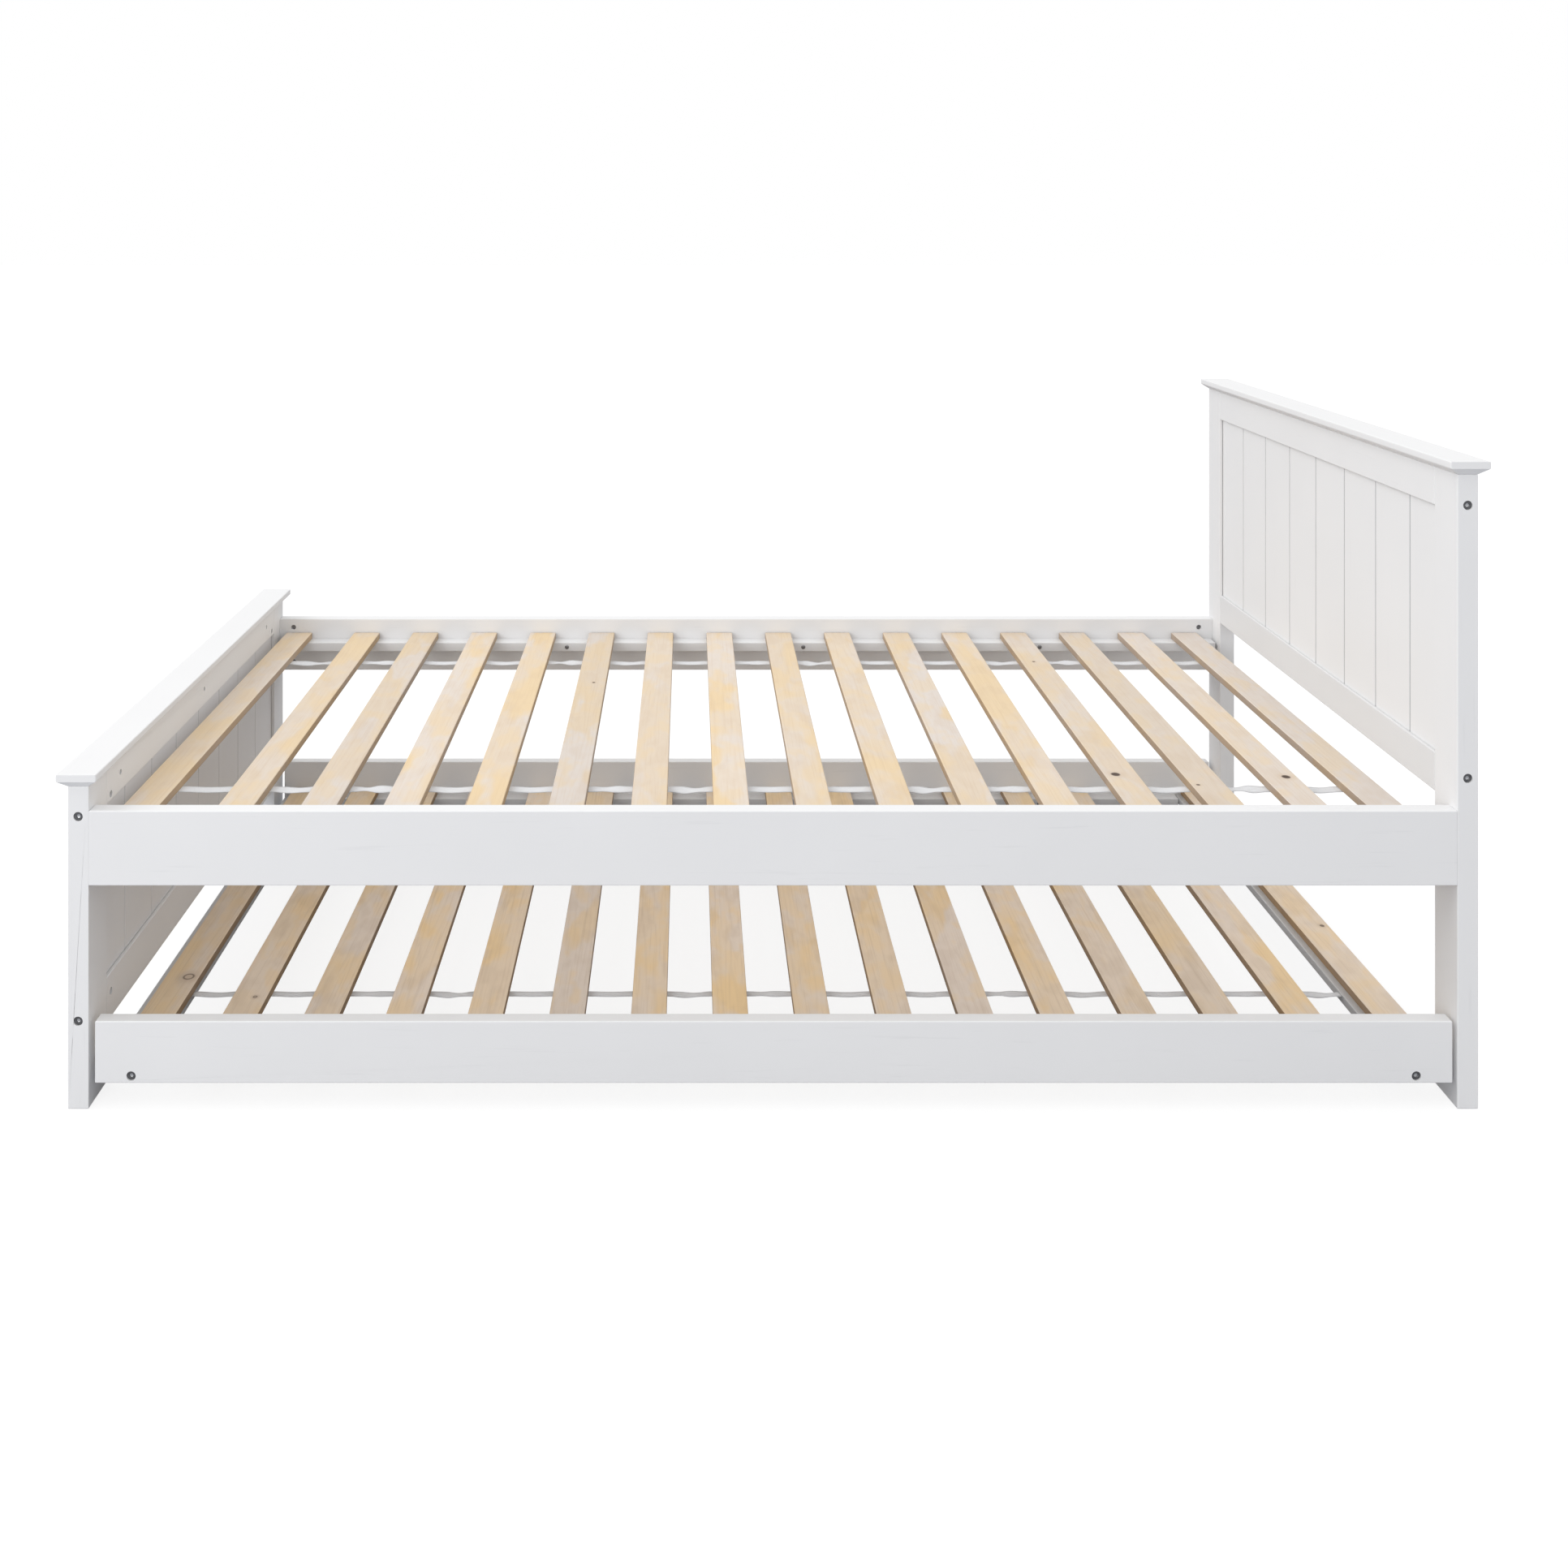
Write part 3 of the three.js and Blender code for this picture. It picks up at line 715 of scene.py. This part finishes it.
def add_castor_screws(screw):
    """Four screws hold each castor plate to its cross member."""
    for end, _ in ENDS:
        member_low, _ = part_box(f"trundle_cross_member_{end}")
        plate_bottom = member_low[2] - CASTOR_PLATE_THICKNESS
        for place, _ in SIDES:
            low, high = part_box(f"castor_bracket_{end}_{place}")
            left, right = low[0] + CASTOR_SCREW_INSET, high[0] - CASTOR_SCREW_INSET
            front, back = low[1] + CASTOR_SCREW_INSET, high[1] - CASTOR_SCREW_INSET
            for i, (x, y) in enumerate(((left, front), (right, front), (right, back), (left, back))):
                name = f"castor_screw_{end}_{place}_{i + 1}"
                put(name, screw, (x, y, plate_bottom), (0, 0, -1), "trundle")


# ---------------------------------------------------------------- webbing tapes

def slat_spans(names):
    """Where each slat starts and ends along X, and the height of their undersides."""
    boxes = [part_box(name) for name in names]
    return [(low[0], high[0]) for low, high in boxes], boxes[0][0][2]


def tape_line(spans, under, start, end, phase):
    """Points (x, z, twist) of a tape: flat under each slat, sagging and a little twisted between them."""
    line = []
    steps = round((end - start) / TAPE_STEP)
    for i in range(steps + 1):
        x = start + (end - start) * i / steps
        z, twist = under, 0.0
        for number, ((_, left), (right, _)) in enumerate(zip(spans, spans[1:])):
            if left < x < right:
                part = (x - left) / (right - left)
                hump = math.sin(math.pi * part) ** 2
                chance = math.sin(2.3 * number + 1.9 * phase)  # stands in for a random number
                z = under - TAPE_SAG * hump * (0.5 + 0.5 * chance)
                twist = TAPE_TWIST * math.sin(2 * math.pi * part) * hump * chance**5
        line.append((x, z, twist))
    return line


def tape_mesh(name, line, y, width):
    """A closed thin strip along the line, of a rectangular section that turns with the line's twist."""
    mesh = bmesh.new()
    steps = [width * (i / TAPE_CELLS_ACROSS - 0.5) for i in range(TAPE_CELLS_ACROSS + 1)]
    section = [(step, TAPE_THICKNESS / 2) for step in steps]
    section += [(-step, -TAPE_THICKNESS / 2) for step in steps]
    rings = []
    for x, z, twist in line:
        turn = [(a * math.cos(twist) - b * math.sin(twist), a * math.sin(twist) + b * math.cos(twist))
                for a, b in section]
        rings.append([mesh.verts.new((x, y + a, z - TAPE_THICKNESS / 2 + b)) for a, b in turn])
    for low, high in zip(rings, rings[1:]):
        for i in range(len(section)):
            j = (i + 1) % len(section)
            mesh.faces.new((low[i], low[j], high[j], high[i]))
    mesh.faces.new(rings[0])
    mesh.faces.new(list(reversed(rings[-1])))
    bmesh.ops.recalc_face_normals(mesh, faces=mesh.faces)
    for face in mesh.faces:
        face.smooth = True
    return to_mesh_data(name, mesh, WEBBING)


def staples_mesh(name, spans, y, under):
    """The crowns of the staples that hold a tape to its slats, two to a slat."""
    mesh = bmesh.new()
    top = under - TAPE_THICKNESS
    for left, right in spans:
        for x in (left + STAPLE_FROM_EDGE, right - STAPLE_FROM_EDGE):
            size = (STAPLE_LENGTH, STAPLE_CROWN, STAPLE_WIRE)
            made = bmesh.ops.create_cube(mesh, size=1.0)["verts"]
            bmesh.ops.scale(mesh, vec=size, verts=made)
            bmesh.ops.translate(mesh, vec=(x, y, top - STAPLE_WIRE / 2), verts=made)
    bmesh.ops.bevel(mesh, geom=mesh.edges, offset=STAPLE_EDGE, segments=2, affect="EDGES")
    return to_mesh_data(name, mesh, ZINC)


def add_tapes(prefix, body, width, offset_y, start, end, stapled, first_phase):
    """Two tapes under one base. Stapled is the range of the slats that they are stapled to."""
    names = [f"{prefix}_{i + 1:02d}" for i in range(SLAT_COUNT)]
    spans, slat_bottom = slat_spans(names)
    under = slat_bottom - TAPE_GAP
    for phase, (place, row) in enumerate(SIDES):
        line = tape_line(spans, under, start, end, phase + first_phase)
        y = row * offset_y
        strip = tape_mesh(f"{prefix}_tape", line, y, width)
        tape = add_piece(f"{prefix}_tape_{place}", strip, body)
        staples = staples_mesh(f"{prefix}_staples", spans[stapled], y, under)
        holder = add_piece(f"{prefix}_staples_{place}", staples, body)


# ---------------------------------------------------------------- stage

def add_floor():
    """A pale floor. What the camera sees of it glows, and the glow lights nothing."""
    shader = Shader("studio_floor")
    clouds = shader.noise(shader.place(), 0.8, 2.0)
    camera_ray = shader.add("ShaderNodeLightPath", {}).outputs["Is Camera Ray"]
    tone = shader.mix(camera_ray, FLOOR_BOUNCE, FLOOR_SEEN)
    shader.set(
        Base_Color=shader.tint(tone, clouds, 0.1, FLOOR_CLOUDS),
        Roughness=0.9,
        Specular_IOR_Level=0.1,
        Emission_Color=(1.0, 1.0, 1.0, 1.0),
        Emission_Strength=shader.math("MULTIPLY", camera_ray, FLOOR_GLOW),
    )
    bpy.ops.mesh.primitive_plane_add(size=FLOOR_SIZE, location=(0, 0, FLOOR_Z))
    floor = bpy.context.object
    floor.name = "floor"
    floor.data.materials.append(shader.material)


def add_sun():
    """One large soft source beyond the foot of the bed, about 40 degrees up."""
    data = bpy.data.lights.new("key", "SUN")
    data.energy = SUN_STRENGTH
    data.angle = SUN_WIDTH
    light = add_object("key", data)
    light.rotation_euler = Vector(SUN_FROM).to_track_quat("Z", "Y").to_euler()


def add_fill():
    """A soft box in front of the foot end, which fades towards the headboard."""
    data = bpy.data.lights.new("fill", "AREA")
    data.size = FILL_SIZE
    data.energy = FILL_WATTS
    light = add_object("fill", data)
    light.location = FILL_PLACE
    aim = Vector(BED_MIDDLE) - Vector(FILL_PLACE)
    light.rotation_euler = aim.to_track_quat("-Z", "Y").to_euler()


def add_world():
    """White surroundings, which light the scene evenly."""
    world = bpy.data.worlds.new("studio")
    world.use_nodes = True
    world.node_tree.nodes["Background"].inputs["Color"].default_value = (1.0, 1.0, 1.0, 1.0)
    bpy.context.scene.world = world


def add_stage():
    add_floor()
    add_world()
    add_sun()
    add_fill()
    bpy.context.scene.view_settings.view_transform = "Standard"


def add_camera():
    data = bpy.data.cameras.new("camera")
    data.lens = LENS_MM
    data.sensor_width = SENSOR_WIDTH_MM
    data.shift_x, data.shift_y = LENS_SHIFT
    camera = add_object("camera", data)
    camera.location = CAMERA_PLACE
    camera.rotation_euler = (math.radians(90), 0, 0)
    bpy.context.scene.camera = camera


def add_hardware():
    bolt, nut, screw = bolt_mesh(), nut_mesh(), screw_mesh()
    add_post_bolts(bolt)
    add_side_rail_hardware(bolt, nut)
    add_end_rail_hardware(nut, screw)
    add_trundle_hardware(bolt, screw)
    add_ledger_screws(screw)
    add_castor_screws(screw)


def add_all_tapes():
    """The bed's tapes reach from its first slat to its last, the trundle's between its cross members."""
    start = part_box("bed_slat_01")[0][0] + BED_TAPE_FROM_EDGE
    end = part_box(f"bed_slat_{SLAT_COUNT}")[1][0] - BED_TAPE_FROM_EDGE
    stapled = slice(0, SLAT_COUNT)
    add_tapes("bed_slat", "bed_frame", BED_TAPE_WIDTH, BED_TAPE_Y, start, end, stapled, 0.0)
    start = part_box("trundle_cross_member_foot")[1][0] + TRUNDLE_TAPE_FROM_MEMBER
    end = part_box("trundle_cross_member_head")[0][0] - TRUNDLE_TAPE_FROM_MEMBER
    stapled = slice(1, SLAT_COUNT - 1)
    add_tapes("trundle_slat", "trundle", TRUNDLE_TAPE_WIDTH, TRUNDLE_TAPE_Y, start, end, stapled,
              TRUNDLE_TAPE_PHASE)


add_camera()
add_stage()
finish_nodes()
add_hardware()
add_all_tapes()
